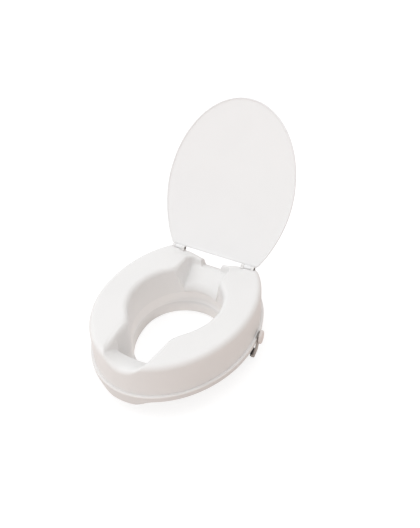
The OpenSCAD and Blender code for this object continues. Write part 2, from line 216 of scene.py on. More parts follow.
def apply_modifiers(ob):
    bpy.context.view_layer.update()
    depsgraph = bpy.context.evaluated_depsgraph_get()
    mesh = bpy.data.meshes.new_from_object(ob.evaluated_get(depsgraph))
    ob.modifiers.clear()
    old = ob.data
    ob.data = mesh
    bpy.data.meshes.remove(old)


def bevel_edges(ob, width, segments):
    mod = ob.modifiers.new("edges", "BEVEL")
    mod.width = width * MM
    mod.segments = segments
    mod.limit_method = "ANGLE"
    mod.angle_limit = math.radians(30)
    apply_modifiers(ob)
    shade(ob, 40)


def cut(ob, cutters, angle=35.0):
    for cutter in cutters:
        mod = ob.modifiers.new("cut", "BOOLEAN")
        mod.operation = "DIFFERENCE"
        mod.solver = "EXACT"
        mod.object = cutter
        apply_modifiers(ob)
        bpy.data.objects.remove(cutter)
    shade(ob, angle)


def register(ob, rides, replaces=None):
    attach(ob, rides)
    if replaces:
        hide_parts(replaces)


# ------------------------------------------------------------------ plan curves
# Half curves run on the +x side from the front centre to the back centre.
def arc_lengths(curve):
    steps = np.linalg.norm(np.diff(curve, axis=0), axis=1)
    return np.concatenate([[0], np.cumsum(steps)])


def points_at(curve, lengths):
    s = arc_lengths(curve)
    return np.stack([np.interp(lengths, s, curve[:, 0]), np.interp(lengths, s, curve[:, 1])], -1)


def length_near(curve, point):
    """Arc length of the curve point nearest to a plan point."""
    nearest = np.argmin(np.linalg.norm(curve - np.array(point, float), axis=1))
    return arc_lengths(curve)[nearest]


def mirror(half):
    other = half[1:-1][::-1].copy()
    other[:, 0] *= -1
    return np.concatenate([half, other])


def outward(curve):
    along = np.roll(curve, -1, axis=0) - np.roll(curve, 1, axis=0)
    normal = np.stack([along[:, 1], -along[:, 0]], 1)
    return normal / np.linalg.norm(normal, axis=1)[:, None]


def outer_wall_half():
    t = np.radians(np.linspace(0, 90, 181))
    front = np.stack([OUTER_HALF_WIDTH * np.sin(t) ** (2 / OUTER_FRONT_POWER),
                      -OUTER_FRONT * np.cos(t) ** (2 / OUTER_FRONT_POWER)], 1)
    end_angle = math.asin((BACK_CORNER_Y / OUTER_REAR) ** (OUTER_REAR_POWER / 2))
    t = np.linspace(0, end_angle, 90)[1:]
    rear = np.stack([OUTER_HALF_WIDTH * np.cos(t) ** (2 / OUTER_REAR_POWER),
                     OUTER_REAR * np.sin(t) ** (2 / OUTER_REAR_POWER)], 1)
    # the corner's control point is where the rear tangent meets the flat back
    step = rear[-1] - rear[-2]
    control = rear[-1] + step * ((OUTER_BACK_Y - rear[-1][1]) / step[1])
    end = np.array([control[0] - np.linalg.norm(control - rear[-1]), OUTER_BACK_Y])
    corner = bezier(rear[-1], control, end, np.linspace(0, 1, 24)[1:, None])
    flat = np.stack([np.linspace(end[0], 0, 60)[1:], np.full(59, OUTER_BACK_Y)], 1)
    return np.concatenate([front, rear, corner, flat])


def opening_half(half_width, rear_length):
    """Keyhole: a channel at the front that widens into an oval."""
    front_length, channel = 118.0, 52.0   # oval's front half length, channel's half width
    blend = 14.0
    corner = 9.0
    y = np.linspace(OPENING_END_Y, 0, 240)
    oval = half_width * np.sqrt(np.clip(1 - (y / front_length) ** 2, 0, 1))
    width = np.maximum(oval, channel)
    width = width + blend * np.log(1 + np.exp(-np.abs(oval - channel) / blend))
    width = width - (blend * np.log(2)) * np.exp(-((width - channel) / 12) ** 2) * 0.12
    # a Gaussian blur eases the bend from the channel into the oval
    offsets = np.arange(-40, 41) * (y[1] - y[0])
    kernel = np.exp(-0.5 * (offsets / 9.0) ** 2)
    width = np.convolve(np.pad(width, 40, mode="edge"), kernel / kernel.sum(), mode="valid")
    # rounded corners at the end of the channel
    inset = y - OPENING_END_Y
    round_off = np.sqrt(np.clip(corner * corner - (corner - inset) ** 2, 0, None))
    width = np.where(inset < corner, width - corner + round_off, width)
    sides = np.stack([width, y], 1)
    end = np.stack([np.linspace(0, width[0], 40)[:-1], np.full(39, OPENING_END_Y)], 1)
    t = np.radians(np.linspace(0, 90, 140))[1:]
    rear = np.stack([width[-1] * np.cos(t), rear_length * np.sin(t)], 1)
    return np.concatenate([end, sides, rear])


WALL_CURVE = outer_wall_half()
TOP_CURVE = opening_half(104.5, TOP_REAR)
LOW_CURVE = opening_half(106.5, LOW_REAR)

# matching points: (x, y) on the outer wall, (x, y) on the top edge of the opening
PAIRS = [
    ((0, -231), (0, -171.5)), ((30, -228), (30, -171.5)), ((47, -222.5), (44.5, -171.5)),
    ((53, -220), (50, -168)), ((62, -216), (53.5, -160)), ((95, -195), (54.5, -140)),
    ((130, -159), (58, -115)), ((165, -92), (88, -62)), ((180, 0), (105, 0)),
    ((170, 75), (96, 45)), ((140, 145), (82, 70)), ((117, 178), (74, 79)),
    ((80, 181.5), (62, 90)), ((62, 181.5), (56, 95)), ((50, 181.5), (48, 99.5)),
    ((25, 181.5), (25, 109)), ((0, 181.5), (0, 112)),
]
# x, y of a stop on the outer wall, and the number of steps that lead to it from the last one
STOPS = [
    (34, -227.5, 12), (46, -223, 14), (66, -214.5, 24), (180, 0, 56), (128, 171, 40),
    (112, 181.5, 10), (72, 181.5, 18), (43, 181.5, 34), (29, 181.5, 9), (23.5, 181.5, 12),
    (0, 181.5, 7),
]


def wall_stations():
    lengths = [0.0]
    for x, y, steps in STOPS:
        lengths += list(np.linspace(lengths[-1], length_near(WALL_CURVE, (x, y)), steps + 1)[1:])
    return np.array(lengths)


def low_opening_points(top_points):
    """Points of the lower opening that face those of the top one, evenly spread."""
    lengths = np.array([
        length_near(LOW_CURVE, (x * 1.015, y if y < 0 else y * LOW_REAR / TOP_REAR))
        for x, y in top_points])
    lengths = np.maximum.accumulate(lengths)
    for _ in range(3):
        lengths[1:-1] = (lengths[:-2] + 2 * lengths[1:-1] + lengths[2:]) / 4
    return points_at(LOW_CURVE, lengths)


wall_lengths = wall_stations()
top_lengths = monotone_cubic(np.array([length_near(WALL_CURVE, a) for a, b in PAIRS]),
                             np.array([length_near(TOP_CURVE, b) for a, b in PAIRS]),
                             wall_lengths)
top_half = points_at(TOP_CURVE, top_lengths)

# full rings with one point per station
OUTER = mirror(points_at(WALL_CURVE, wall_lengths))
OPEN_TOP = mirror(top_half)
OPEN_LOW = mirror(low_opening_points(top_half))
OPEN_SEAM = OPEN_LOW + (OPEN_TOP - OPEN_LOW) * FOOT_SHARE
OUTER_NORMAL = outward(OUTER)
LOW_NORMAL = outward(OPEN_LOW)


# ------------------------------------------------------------------ seat
def front_height(across, y):
    """Valley along the centre line of the front, between two rolled shoulders."""
    floor_z = np.interp(y, [-240, -222, -215, -207, -200, -192, -185, -178, -172, -160],
                        [74, 74, 74, 72.4, 70, 66.8, 63, 59.8, 57, 52])
    radius = np.interp(y, [-225, -198, -176, -150], [54, 92, 150, 200])
    reach = np.minimum(across, radius - 1)
    valley = floor_z + radius - np.sqrt(np.clip(radius * radius - reach ** 2, 1, None))
    valley = valley + np.clip(across - 56, 0, None) * 3
    half_width = np.interp(y, [-225, -200, -172], [45, 47.5, 49.5])
    roll = np.interp(y, [-222, -195], [11.0, 14.0])
    past = np.clip(across - half_width, 0, roll)
    shoulder = SEAT_TOP - roll + np.sqrt(np.clip(roll * roll - (roll - past) ** 2, 0, None))
    shoulder = shoulder - np.clip(half_width - across, 0, None) * 7
    blended = smooth_max(valley, shoulder, np.interp(y, [-220, -190], [6.5, 9.0]))
    return smooth_min(blended, SEAT_TOP, 3.0)


def rear_height(across, y):
    """Scoop behind the opening, a plateau round it that dips to the back, a centre notch."""
    scoop = smooth_min(39 + (y - 112) * 0.66, 68.0, 5.0) + 2 * smooth_step(18, 50, across)
    dip = 10.0 * (1 - smooth_step(22, 74, across)) + 5.5 * (1 - smooth_step(76, 96, across))
    plateau = SEAT_TOP - dip * smooth_step(134, 176, y)
    # signed distance from the scoop's rounded rectangle
    half_width, back_y, corner = 56.0, 162.0, 17.0
    dx, dy = across - (half_width - corner), y - (back_y - corner)
    distance = (np.hypot(np.maximum(dx, 0), np.maximum(dy, 0))
                + np.minimum(np.maximum(dx, dy), 0) - corner)
    roll = np.interp(y, [96, 140, 162], [13, 8.5, 6.0])
    past = np.clip(distance, 0, roll)
    rim = plateau - roll + np.sqrt(np.clip(roll * roll - (roll - past) ** 2, 0, None))
    rim = rim - np.clip(-distance, 0, None) * 4
    z = smooth_max(scoop, rim, np.interp(y, [110, 150, 170], [12, 7, 5]))
    z = smooth_min(z, plateau, 2.0)
    notch = (66.5 - 6.0 * smooth_step(164, 181, y) + np.clip(across - 25, 0, None) * 5
             + np.clip(158 - y, 0, None) * 2)
    return smooth_min(z, notch, 2.0)


def top_height(x, y):
    across = np.abs(x)
    t = smooth_step(-60, 0, y)
    z = front_height(across, y) * (1 - t) + rear_height(across, y) * t
    return np.minimum(z, SEAT_TOP)


def edge_radii(start, end, inward):
    """Rounding of the top at the outer wall and at the opening, from the height nearby."""
    z_out = float(top_height(*(start + inward * 14)))
    z_in = float(top_height(*(end - inward * 6)))
    if start[1] < 0:
        return 10.5 + (z_out - 74) / 22 * 2.5, np.clip(8 + (z_in - 57) / 39 * 5.5, 8, 13.5)
    outer = np.clip(5 + (z_out - 62) / 20 * 10, 5, 15)
    outer = outer - 2.0 * float(smooth_step(84, 100, abs(start[0])))
    return outer, 12 + 1.5 * float(smooth_step(60, 90, z_in))


def seat_sections(wall):
    """One open path per station: outer foot, over the top, inner foot, set in by the wall."""
    out_turn = np.linspace(0, math.pi / 2, 10)
    in_turn = np.linspace(math.pi / 2, 0, 9)
    across = np.linspace(0, 1, 37)[1:-1]
    rise = np.linspace(0, 1, 9)[:-1, None]
    fall = np.linspace(0, 1, 12)[1:, None]
    shifts = (-wall, 0, wall)
    sections = []
    for k, (start, end) in enumerate(zip(OUTER, OPEN_TOP)):
        inward = end - start
        span = np.linalg.norm(inward)
        inward = inward / span
        r_out, r_in = edge_radii(start, end, inward)
        distance = np.concatenate([r_out - (r_out - wall) * np.cos(out_turn),
                                   r_out + (span - r_in - r_out) * across,
                                   span - r_in + (r_in - wall) * np.cos(in_turn)])
        drop = np.concatenate([(r_out - wall) * (1 - np.sin(out_turn)),
                               np.zeros(len(across)),
                               (r_in - wall) * (1 - np.sin(in_turn))])
        plan = start + inward * distance[:, None]
        # the lowest height nearby keeps the wall thick where the top slopes
        z = np.min([top_height(plan[:, 0] + dx, plan[:, 1] + dy)
                    for dx in shifts for dy in shifts], axis=0) - wall - drop
        over = np.column_stack([plan, z])
        outer_foot = np.array([*plan[0], SEAM_Z])
        inner_foot = np.array([*(OPEN_SEAM[k] + LOW_NORMAL[k] * wall), SEAM_Z])
        sections.append(np.concatenate([outer_foot + (over[0] - outer_foot) * rise, over,
                                        over[-1] + (inner_foot - over[-1]) * fall]))
    return np.array(sections)


def build_seat():
    outside, inside = seat_sections(0.0), seat_sections(SEAT_WALL)
    seat = closed_grid(np.concatenate([outside, inside[:, ::-1]], axis=1), "seat_body", 50)
    cutters = []
    for side, _ in SIDES:
        centre = side * HINGE_X
        # a notch in the back edge and a bore along the hinge axis
        cutters.append(box((centre - 16.8, 164.7, 88), (centre + 16.8, 200, 120), "cutter"))
        cutters.append(bore(centre - 18.3, centre + 18.3, 3.7,
                            lambda u, a, b: (u, HINGE_Y + a, HINGE_Z + b), 48))
    cut(seat, cutters, 50)
    register(seat, "seat", "seat_shell")


# ------------------------------------------------------------------ clamp frames
def clamp_frame(side):
    """u points outward along the clamp screw, v across it, z up."""
    c, s = math.cos(CLAMP_TURN), math.sin(CLAMP_TURN)
    return lambda u, v, z: (side * (CLAMP_X + u * c - v * s), CLAMP_Y + u * s + v * c, z)


def clamp_axis(side, offset=0.0):
    """Frame about the screw axis, or about a line offset across from it."""
    place = clamp_frame(side)
    return lambda u, a, b: place(u, offset + a, SCREW_Z + b)


def screw_bore(side):
    return bore(-60, 12, 3.2, clamp_axis(side), 32)


def guide_bores(side):
    return [bore(-27, 12, 2.56, clamp_axis(side, offset), 24) for offset in GUIDE_OFFSETS]


# ------------------------------------------------------------------ base ring
def collar_outline():
    """Egg shape, one point per station, in the direction of the lower opening."""
    half_width, centre_y, front, rear = 103.5, 14, 142.0, 102.0
    x, y = OPEN_LOW[:, 0], OPEN_LOW[:, 1]
    turn = np.arctan2((y - centre_y) / np.where(y < centre_y, front, rear), x / half_width)
    length = np.where(np.sin(turn) < 0, front, rear)
    return np.stack([half_width * np.cos(turn), centre_y + length * np.sin(turn)], -1)


def base_sections():
    """Closed section per station: seam, rounded bead, outer band, underside, collar."""
    collar = collar_outline()
    collar_normal = outward(collar)
    to_low = OPEN_LOW - collar
    # at the middle of the front the band reaches lower and stands out further
    across, in_front = np.abs(OUTER[:, :1]), OUTER[:, 1:] < 0
    lip = (1 - smooth_step(24, 66, across)) * in_front
    band = 4.9 + 0.5 * (1 - smooth_step(54, 78, across)) * in_front
    band_z = -1.0 - 13.2 * lip
    rings = []

    def add(points, z):
        rings.append(np.hstack([points, np.broadcast_to(z, (len(points), 1))]))

    def from_outer(distance, z):
        add(OUTER + OUTER_NORMAL * distance, z)

    def from_low(distance, z):
        add(OPEN_LOW + LOW_NORMAL * distance, z)

    def from_collar(distance, z):
        add(collar + collar_normal * distance, z)

    # top face, from the opening out
    add(OPEN_SEAM + LOW_NORMAL * 0.1, SEAM_Z)
    for s in (0.25, 0.5, 0.75):
        add(OPEN_SEAM + (OUTER - OPEN_SEAM) * s, SEAM_Z)
    for distance in (-0.5, 0.6, 4.4):
        from_outer(distance, SEAM_Z)
    # bead round the seam
    for turn in np.radians(np.linspace(90, 0, 5)[1:]):
        from_outer(4.4 + 1.6 * math.cos(turn), 12.4 + 1.6 * math.sin(turn))
    for turn in np.radians(np.linspace(0, -90, 4)):
        from_outer(5.0 + 1.0 * math.cos(turn), 11.0 + 1.0 * math.sin(turn))
    # outer band, its rounded lower edge and its back
    from_outer(band + (5.0 - band) * 0.35, 10.0)
    from_outer(band + 0.1, 9.7)
    from_outer(band, 8.8)
    for s in (0.33, 0.66):
        from_outer(band - 0.3 * s * lip, 8.8 + (band_z + 1.2 - 8.8) * s)
    for turn in np.radians(np.linspace(0, -90, 5)):
        from_outer(band - 0.5 * lip - 1.2 + 1.2 * math.cos(turn),
                   band_z + 1.2 + 1.2 * math.sin(turn))
    from_outer(band - 3.2, band_z)
    from_outer(band - 4.0, band_z + 0.8)
    from_outer(band * 0.9 - 4.0, np.minimum(band_z + 8, 7))
    from_outer(-4.2, 9.2)
    from_outer(-5.2, 10.0)
    # underside of the flange
    flange_out = OUTER - OUTER_NORMAL * 5.2
    for s in (0.3, 0.6, 0.9):
        add(flange_out + ((OPEN_LOW + LOW_NORMAL * 4.4) - flange_out) * s, 10.0)
    # outside of the collar, going down
    for distance, z in ((4.3, 9.4), (4.0, 0.0), (4.0, -9.0)):
        from_low(distance, z)
    far = np.linalg.norm(to_low, axis=1)[:, None] > 12
    add(collar + collar_normal * 4.6 + to_low * np.where(far, 0.5, 0.2),
        np.where(far, -16.0, -13.5))
    for distance, z in ((4.0, -24.0), (4.0, -35.0), (4.0, -43.8), (2.9, -45.0), (1.1, -45.0),
                        (0, -43.8), (0, -34.0), (0, -24.0)):
        from_collar(distance, z)
    # ledge inside the collar, up to the opening
    for s, z in ((0.03, -18.6), (0.16, -16.8), (0.5, -14.2), (0.86, -11.4)):
        add(collar + to_low * s, z)
    add(OPEN_LOW - to_low * 0.02, -9.4)
    add(OPEN_LOW, -7.0)
    add(OPEN_LOW + (OPEN_SEAM - OPEN_LOW) * 0.5, 4.0)
    add(OPEN_SEAM, 12.6)
    add(OPEN_SEAM + LOW_NORMAL * 0.05, 13.6)
    return np.stack(rings, axis=1)


def build_base():
    base = closed_grid(base_sections(), "base_body", 38)
    cutters = []
    for side, _ in SIDES:
        cutters.append(box((2.4, -13.8, -6), (20, 13.8, 30), "cutter", clamp_frame(side)))
        cutters += [screw_bore(side), *guide_bores(side)]
    cut(base, cutters, 38)
    register(base, "seat", "base_ring")


def turned_frame(centre_x, centre_y, degrees):
    c, s = math.cos(math.radians(degrees)), math.sin(math.radians(degrees))
    return lambda x, y, z: (centre_x + x * c - y * s, centre_y + x * s + y * c, z)


def build_pad_seats():
    """Bevelled blocks under the flange, each with a rectangular pocket from below."""
    # x, y, turn in degrees
    places = [(0, REST_Y, 0), (128, 14, 90), (-128, 14, 90), (90, -158, 40), (-90, -158, -40)]
    for i, place in enumerate(places):
        frame = turned_frame(*place)
        block = box((-24, -11, 3), (24, 11, 10.5), "pad_seat_%d" % i, frame)
        cut(block, [box((-22.05, -9.05, -1), (22.05, 9.05, 5.05), "cutter", frame)])
        bevel_edges(block, 0.5, 2)
        register(block, "seat")


def build_screw_bosses():
    places = [(110, 102), (-110, 102), (143, -22), (-143, -22), (104, -128), (-104, -128)]
    # z, radius
    profile = [(10.4, 4.3), (9.0, 4.3), (6.4, 4.3), (6.0, 4.7), (6.0, 5.6), (6.4, 6.0),
               (10.4, 6.0)]
    for i, (x, y) in enumerate(places):
        ob = turned_ring(profile, "screw_boss_%d" % i, lambda u, a, b: (x + a, y + b, u), 48)
        register(ob, "seat")


def build_clamp_housings():
    for side, label in SIDES:
        frame = clamp_frame(side)
        housing = box((-34, -17, 2), (-0.8, 17, 10.5), "clamp_housing_" + label, frame)
        slot = box((-24.05, -5.05, 0), (-18.95, 5.05, 13.9), "cutter", frame)
        cut(housing, [screw_bore(side), slot, *guide_bores(side)])
        register(housing, "seat")


# ------------------------------------------------------------------ lid
# Drawn closed about the hinge axis: y runs from the hinge (0) to the front tip (negative),
# z points up from the underside. lid_frame opens it.
LID_ANGLE = math.radians(-121.0)
LID_HALF_WIDTH = 165.6
LID_BACK_Y = -4
LID_BACK_LENGTH = 160.5    # from the back edge to the widest station
LID_WIDEST_Y = LID_BACK_Y - LID_BACK_LENGTH
LID_FRONT_LENGTH = 221.2
LID_CENTRE = np.array([0.0, LID_BACK_Y - 178.0])
LID_UNDER_Z, LID_OVER_Z = 1.7, 5.1
LID_CROWN = 5.0


def lid_frame(x, y, z):
    c, s = math.cos(LID_ANGLE), math.sin(LID_ANGLE)
    return (x, HINGE_Y + y * c - z * s, HINGE_Z + y * s + z * c)


def lid_outline():
    t = np.radians(np.linspace(0, 90, 91))
    tip = np.stack([LID_HALF_WIDTH * np.sin(t) ** (2 / 2.01),
                    LID_WIDEST_Y - LID_FRONT_LENGTH * np.cos(t) ** (2 / 2.01)], 1)
    back = np.linspace(LID_BACK_LENGTH, 9, 60)[1:]
    bow = (1 - ((LID_BACK_LENGTH - back) / 243.5) ** 1.81) ** (1 / 1.81)
    rear = np.stack([LID_HALF_WIDTH * bow, LID_BACK_Y - back], 1)
    edge = rear[-1]
    control = np.array([edge[0] - 3.6, LID_BACK_Y])
    end = np.array([edge[0] - 10.5, LID_BACK_Y])
    corner = bezier(edge, control, end, np.linspace(0, 1, 10)[1:, None])
    flat = np.stack([np.linspace(end[0], 0, 30)[1:], np.full(29, LID_BACK_Y)], 1)
    half = np.concatenate([tip, rear, corner, flat])
    return mirror(points_at(half, np.linspace(0, arc_lengths(half)[-1], 260)))


def lid_crown(points):
    """Height of the crown: zero at the rim, full in the middle."""
    from_widest = points[:, 1] - LID_WIDEST_Y
    length = np.where(points[:, 1] < LID_WIDEST_Y, LID_FRONT_LENGTH, 175.0)
    radius = np.hypot(points[:, 0] / LID_HALF_WIDTH, from_widest / length)
    return LID_CROWN * np.clip(1 - radius ** 2.2, 0, 1)


def build_lid_panel():
    outline = lid_outline()
    normal = outward(outline)
    count = len(outline)
    # the rim hangs lower than the underside except along the back edge
    rim_z = LID_UNDER_Z - 1.3 * smooth_step(14, 24, LID_BACK_Y - outline[:, 1])
    shares = list(np.linspace(0.03, 0.955, 26))
    rings = []

    def add(points, z, crown_share):
        z = z + lid_crown(points) * crown_share
        rings.append(np.stack(lid_frame(points[:, 0], points[:, 1], z), axis=-1))

    def add_inner(share, z, crown_share):
        add(LID_CENTRE + (outline - normal * 6 - LID_CENTRE) * share, z, crown_share)

    for share in shares:
        add_inner(share, LID_UNDER_Z, 0.999)
    # inset from the outline, z, share of the crown
    for inset, z, crown_share in [
            (5.2, LID_UNDER_Z, 1), (3.8, 1.62, 0.6), (3.0, 0.65 + rim_z * 0.5, 0.3),
            (2.5, rim_z + 0.1, 0), (1.2, rim_z, 0), (0.4, rim_z + 0.25, 0),
            (0, rim_z + 0.9, 0), (0.05, 3.0, 0)]:
        add(outline - normal * inset, z, crown_share)
    for degrees in (25, 50, 75, 90):
        turn = math.radians(degrees)
        add(outline - normal * (2.2 * (1 - math.cos(turn))), 3.0 + 2.1 * math.sin(turn),
            degrees / 90)
    for share in shares[::-1]:
        add_inner(share, LID_OVER_Z, 1)

    crown = float(lid_crown(LID_CENTRE[None])[0])
    centres = [lid_frame(*LID_CENTRE, z + crown) for z in (LID_UNDER_Z, LID_OVER_Z)]
    last = (len(rings) - 1) * count
    under_centre = len(rings) * count
    over_centre = under_centre + 1
    faces = []
    for row in range(0, last, count):
        for i in range(count):
            after = (i + 1) % count
            faces.append((row + i, row + after, row + count + after, row + count + i))
    for i in range(count):
        after = (i + 1) % count
        faces.append((under_centre, after, i))
        faces.append((over_centre, last + i, last + after))
    lid = new_mesh("lid_panel", np.concatenate(rings + [centres]), faces, 60)
    register(lid, "lid", "lid")


def build_lid_hinges():
    """A lug round the hinge axis each side, and the arm that joins it to the panel."""
    half = 9.1
    # along the axis, radius
    profile = [(-half, 4.0), (-half, 4.9), (-8.7, 5.3), (8.7, 5.3), (half, 4.9), (half, 4.0)]
    for side, label in SIDES:
        centre = side * HINGE_X
        lug = turned_ring(profile, "lid_lug_" + label,
                          lambda u, a, b: lid_frame(centre + u, a, b), 64)
        register(lug, "lid")
        arm = box((centre - half, -12, 1.75), (centre + half, -3.95, 5.05),
                  "lid_arm_" + label, lid_frame)
        bevel_edges(arm, 0.5, 2)
        register(arm, "lid")


# ------------------------------------------------------------------ clamps
# u, z outline of the clamp arm
ARM_OUTLINE = [
    (3, 12.0), (3.4, 13.6), (4.4, 14.2), (5.4, 13.8), (6.2, 12.2), (6.6, -8), (1.6, -38),
    (0.6, -45), (-0.2, -48.9), (-1.6, -50), (-7.2, -50), (-8, -49.2), (-8, -45),
    (-7.2, -43.8), (-4.8, -42.8), (-3.0, -40.4), (-2.0, -36), (3, -8),
]
# along the screw, radius
PEG_PROFILE = [(-26, 0), (-26, 2.1), (-25.6, 2.5), (4, 2.5), (4, 0)]
KNOB_PROFILE = [
    (8.15, 0), (8.15, 6.2), (8.35, 6.5), (8.7, 6.5), (8.75, 9.0), (8.8, 13.9), (9.1, 15.2),
    (9.8, 15.9), (10.8, 16.0), (13.6, 15.95), (14.7, 15.5), (15.35, 14.3), (15.7, 12.7),
    (15.97, 11.0), (15.92, 9.6), (15.7, 8.8), (15.5, 7.5), (15.45, 4), (15.45, 0),
]


def knob_lobes(radius, turn):
    """Eight shallow grooves that fade out towards the middle."""
    if radius < 9:
        return radius
    wave = 0.5 + 0.5 * math.cos(8 * turn)
    return radius - min(1, (radius - 9) / 4) * 1.5 * (1 - wave ** 0.6)


def build_clamp(side, label):
    bracket = "bracket_" + label
    arm = prism(ARM_OUTLINE, -13, 13, clamp_frame(side), "clamp_arm_" + label)
    bevel_edges(arm, 0.9, 3)
    cut(arm, [bore(0, 10, 3.15, clamp_axis(side), 32)])
    register(arm, bracket, "clamp_bracket_" + label)
    for i, offset in enumerate(GUIDE_OFFSETS):
        peg = revolve(PEG_PROFILE, "guide_peg_%s_%d" % (label, i), clamp_axis(side, offset), 32)
        register(peg, bracket)
    knob = revolve(KNOB_PROFILE, "clamp_knob_body_" + label, clamp_axis(side), 128,
                   knob_lobes, 40)
    register(knob, "knob_" + label, "clamp_knob_" + label)


build_seat()
build_base()
build_pad_seats()
build_screw_bosses()
build_clamp_housings()
build_lid_panel()
build_lid_hinges()
for side, label in SIDES:
    build_clamp(side, label)


# ------------------------------------------------------------------ materials
def set_inputs(node, values):
    """Set inputs by name or index; a socket given as a value is linked."""
    for key, value in values.items():
        if isinstance(value, bpy.types.NodeSocket):
            node.id_data.links.new(value, node.inputs[key])
        else:
            node.inputs[key].default_value = value


def add_node(tree, kind, inputs=None, **settings):
    node = tree.nodes.new("ShaderNode" + kind)
    for name, value in settings.items():
        setattr(node, name, value)
    set_inputs(node, inputs or {})
    return node


def add_mix(tree, factor, a, b):
    node = add_node(tree, "Mix", {"Factor": factor, "A": a, "B": b}, data_type="RGBA")
    return node.outputs["Result"]


def surface(name, color, rough, rough_spread, bump, grain, wear,
            metallic=0.0, bevel=0.0, corner_shade=0.0):
    """Base colour with slow tone changes, streaky roughness and a fine grain.

    bevel is the radius of softened edges in metres; the last argument darkens the corners, found by
    ambient occlusion, as painted shade.
    """
    material = bpy.data.materials.new(name)
    material.use_nodes = True
    tree = material.node_tree
    tree.nodes.clear()
    coords = add_node(tree, "TexCoord").outputs["Object"]
    tone = add_node(tree, "TexNoise", {"Vector": coords, "Scale": 9.0, "Detail": 4})
    fine = add_node(tree, "TexNoise", {"Vector": coords, "Scale": grain, "Detail": 3})
    stretched = add_node(tree, "Mapping", {
        "Vector": coords, "Scale": (1.0, 6.0, 2.5), "Rotation": (0.3, 0.2, 0.7)})
    streaks = add_node(tree, "TexNoise", {
        "Vector": stretched.outputs[0], "Scale": 60, "Detail": 8, "Roughness": 0.7})
    worn = tuple(c * (1 - wear) for c in color)
    tone_range = add_node(tree, "MapRange", {
        "Value": tone.outputs["Fac"], "From Min": 0.42, "From Max": 0.68})
    shown = add_mix(tree, tone_range.outputs[0], (*color, 1), (*worn, 1))
    # painted shade: ambient occlusion darkens the colour in corners, creases and gaps between parts
    if corner_shade:
        corners = add_node(tree, "AmbientOcclusion", {"Distance": 0.012}, samples=8)
        amount = add_node(tree, "MapRange", {
            "Value": corners.outputs["AO"], "From Min": 0.75, "From Max": 0.25,
            "To Max": corner_shade})
        shade_tint = (color[0] * 0.62, color[1] * 0.58, color[2] * 0.54, 1)
        shown = add_mix(tree, amount.outputs[0], shown, shade_tint)
    roughness = add_node(tree, "MapRange", {
        "Value": streaks.outputs["Fac"], "From Min": 0.35, "From Max": 0.7,
        "To Min": rough, "To Max": rough + rough_spread})
    relief = add_node(tree, "Bump", {
        "Height": fine.outputs["Fac"], "Strength": bump, "Distance": 0.0004})
    if bevel:
        soft = add_node(tree, "Bevel", {"Radius": bevel}, samples=6)
        set_inputs(relief, {"Normal": soft.outputs[0]})
    shader = add_node(tree, "BsdfPrincipled", {
        "Base Color": shown, "Roughness": roughness.outputs[0],
        "Normal": relief.outputs[0], "Metallic": metallic})
    add_node(tree, "OutputMaterial", {0: shader.outputs[0]})
    return material


def paint_low_shade(material):
    """Painted shade: darken the base's colour below one height, and inside an ellipse only below a
    lower one.
    """
    skirt_z, fade, amount = 9.6, 0.5, 0.1            # mm, mm, share of black
    centre = (0.0, (-25.0 - REST_Y) * MM, 0.0)
    ellipse_scale = (1 / 0.150, 1 / 0.190, 0.0)      # one over the half axes in metres
    inside_lift = 0.0246                             # metres the limit drops in the ellipse
    tree = material.node_tree
    shader = tree.nodes["Principled BSDF"]
    color = shader.inputs["Base Color"].links[0].from_socket
    position = add_node(tree, "NewGeometry").outputs["Position"]
    split = add_node(tree, "SeparateXYZ", {0: position})
    offset = add_node(tree, "VectorMath", {0: position, 1: centre}, operation="SUBTRACT")
    scaled = add_node(tree, "VectorMath", {0: offset.outputs[0], 1: ellipse_scale},
                      operation="MULTIPLY")
    radius = add_node(tree, "VectorMath", {0: scaled.outputs[0]}, operation="LENGTH")
    inside = add_node(tree, "Math", {0: radius.outputs["Value"], 1: 1.0},
                      operation="LESS_THAN")
    height = add_node(tree, "Math", {
        0: inside.outputs[0], 1: inside_lift, 2: split.outputs["Z"]}, operation="MULTIPLY_ADD")
    share = add_node(tree, "MapRange", {
        "Value": height.outputs[0], "From Min": (skirt_z + fade) * MM,
        "From Max": (skirt_z - fade) * MM, "To Max": amount})
    darkened = add_mix(tree, share.outputs[0], color, (0.0, 0.0, 0.0, 1))
    set_inputs(shader, {"Base Color": darkened})


seat_white = surface("seat_white", color=(0.72, 0.717, 0.713), rough=0.42, rough_spread=0.12,
                     bump=0.10, grain=900, wear=0.015, corner_shade=0.12)
base_white = surface("base_white", color=(0.755, 0.747, 0.74), rough=0.44, rough_spread=0.12,
                     bump=0.1, grain=900, wear=0.02, bevel=0.0003)
lid_white = surface("lid_white", color=(0.745, 0.75, 0.754), rough=0.40, rough_spread=0.12,
                    bump=0.04, grain=900, wear=0.012, corner_shade=0.1)
knob_white = surface("knob_grey_white", color=(0.74, 0.70, 0.68), rough=0.48,
                     rough_spread=0.14, bump=0.2, grain=1400, wear=0.05, corner_shade=0.3)
bracket_grey = surface("bracket_grey", color=(0.47, 0.445, 0.425), rough=0.5,
                       rough_spread=0.15, bump=0.3, grain=1500, wear=0.08, corner_shade=0.1)
# painted shade on the base's lower band, under the flange
paint_low_shade(base_white)
bush_nylon = surface("bush_nylon", color=(0.74, 0.73, 0.71), rough=0.5, rough_spread=0.1,
                     bump=0.1, grain=1200, wear=0.04, bevel=0.0003)
pad_rubber = surface("pad_rubber", color=(0.085, 0.082, 0.08), rough=0.75, rough_spread=0.15,
                     bump=0.4, grain=2200, wear=0.15, bevel=0.0004)
pin_steel = surface("pin_steel", color=(0.16, 0.155, 0.15), rough=0.35, rough_spread=0.2,
                    bump=0.15, grain=1800, wear=0.15, metallic=0.9, bevel=0.0003)
screw_steel = surface("screw_steel", color=(0.56, 0.55, 0.53), rough=0.28, rough_spread=0.18,
                      bump=0.12, grain=1800, wear=0.12, metallic=1.0, bevel=0.0002)
hinge_white = surface("hinge_white", color=(0.72, 0.717, 0.713), rough=0.42,
                      rough_spread=0.12, bump=0.1, grain=1000, wear=0.02, bevel=0.0005,
                      corner_shade=0.1)

